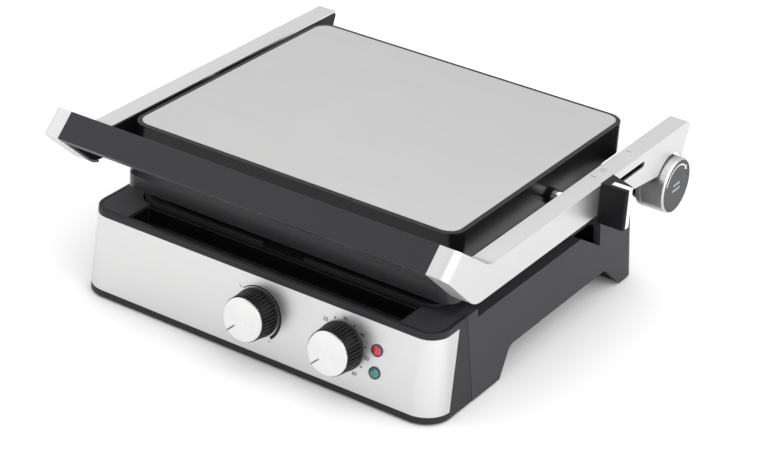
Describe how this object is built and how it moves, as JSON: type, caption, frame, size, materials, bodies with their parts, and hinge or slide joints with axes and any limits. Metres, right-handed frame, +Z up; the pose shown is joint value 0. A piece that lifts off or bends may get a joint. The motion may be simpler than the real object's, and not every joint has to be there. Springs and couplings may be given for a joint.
{
  "type": "panini press",
  "caption": "Electric panini press with ribbed plates, a hinged lid that opens flat, a cross handle and two front dials.",
  "frame": {"origin": "centre of the bounding box at table level, under the feet", "axes": "+X to the user's right, across the press from the left hinge cap to the height slider; +Y from the dials to the rear hinge; +Z up"},
  "size_m": [0.4008, 0.3854, 0.1645],
  "materials": {
    "shell_grey": "satin moulded, dark grey",
    "fascia_grey": "satin moulded, dark grey",
    "brushed_panel": "fine horizontal brushing",
    "cover_steel": "brushed, satin",
    "bottom_sheet": "matt black",
    "screw_steel": "plain zinc",
    "foot_rubber": "matt",
    "tray_black": "gloss",
    "cast_plate": "cast with a dark non-stick coating",
    "heater_tube": "dull",
    "reflector_sheet": "bright mill",
    "terminal_plastic": "matt",
    "gland_black": "matt",
    "bracket_steel": "satin black",
    "pin_steel": "polished",
    "barrel_silver": "satin silver",
    "cap_grey": "satin dark grey",
    "control_plastic": "matt",
    "shaft_steel": "turned",
    "knob_black": "satin black, ribbed",
    "knob_face": "spun",
    "red_lens": "clear tinted",
    "green_lens": "clear tinted",
    "bezel_black": "gloss",
    "arm_silver": "satin silver",
    "liner_black": "satin black",
    "bush_plastic": "natural",
    "handle_metal": "satin, anodised grey",
    "slider_black": "satin black",
    "slider_white": "satin silver white",
    "lid_black": "satin black"
  },
  "bodies": {
    "base": {"base_shell": "shell_grey", "front_fascia": "fascia_grey", "front_panel": "brushed_panel", "bottom_cover": "bottom_sheet", "bottom_screws": "screw_steel", "foot_front_left": "foot_rubber", "foot_front_right": "foot_rubber", "foot_rear_left": "foot_rubber", "foot_rear_right": "foot_rubber", "lower_plate": "cast_plate", "lower_heater": "heater_tube", "lower_reflector": "reflector_sheet", "terminal_block": "terminal_plastic", "cord_gland": "gland_black", "hinge_bracket_left": "bracket_steel", "hinge_bracket_right": "bracket_steel", "bracket_screws": "screw_steel", "hinge_pin_left": "pin_steel", "hinge_pin_right": "pin_steel", "hinge_cap_left": "barrel_silver", "thermostat_body": "control_plastic", "timer_body": "control_plastic", "power_lens": "red_lens", "ready_lens": "green_lens", "lamp_bezels": "bezel_black", "lamp_holders": "terminal_plastic"},
    "handle_frame": {"left_arm": "arm_silver", "right_arm": "arm_silver", "left_arm_liner": "liner_black", "right_arm_liner": "liner_black", "hinge_bush_left": "bush_plastic", "hinge_bush_right": "bush_plastic", "handle_bar": "handle_metal", "handle_screws": "screw_steel", "lid_pivot_left": "pin_steel", "lid_pivot_right": "pin_steel"},
    "lid": {"lid_shell": "lid_black", "lid_cover": "cover_steel", "lid_frame": "shell_grey", "upper_plate": "cast_plate", "upper_heater": "heater_tube", "upper_reflector": "reflector_sheet", "lid_screws": "screw_steel"},
    "slider": {"slider_grip": "slider_black", "slider_insert": "slider_white", "slider_key": "slider_black"},
    "release_knob": {"release_barrel": "barrel_silver", "release_cap": "cap_grey"},
    "thermostat_dial": {"thermostat_shaft": "shaft_steel", "thermostat_knob": "knob_black", "thermostat_knob_cap": "knob_face"},
    "timer_dial": {"timer_shaft": "shaft_steel", "timer_knob": "knob_black", "timer_knob_cap": "knob_face"},
    "tray": {"drip_tray": "tray_black"}
  },
  "joints": [
    {"name": "arm_hinge", "type": "hinge", "parent": "base", "child": "handle_frame", "pos_m": [-0.0114, 0.16376, 0.086], "axis": [-1, 0, 0], "range_deg": [0, 180]},
    {"name": "lid_tilt", "type": "hinge", "parent": "handle_frame", "child": "lid", "pos_m": [-0.0114, 0.01876, 0.12075], "axis": [1, 0, 0], "range_deg": [-1.8, 1.8]},
    {"name": "height_slide", "type": "slide", "parent": "handle_frame", "child": "slider", "axis": [0, 1, 0], "range_m": [0, 0.0585]},
    {"name": "release_turn", "type": "hinge", "parent": "base", "child": "release_knob", "pos_m": [-0.0114, 0.16376, 0.086], "axis": [1, 0, 0], "range_deg": [0, 60]},
    {"name": "thermostat_turn", "type": "hinge", "parent": "base", "child": "thermostat_dial", "pos_m": [-0.0074, -0.16295, 0.0415], "axis": [0, 0.9962, -0.0867], "range_deg": [0, 270]},
    {"name": "timer_turn", "type": "hinge", "parent": "base", "child": "timer_dial", "pos_m": [0.0721, -0.16295, 0.0415], "axis": [0, 0.9962, -0.0867], "range_deg": [0, 300]},
    {"name": "tray_lift", "type": "slide", "parent": "base", "child": "tray", "axis": [0, 0, 1], "range_m": [0, 0.045]}
  ]
}
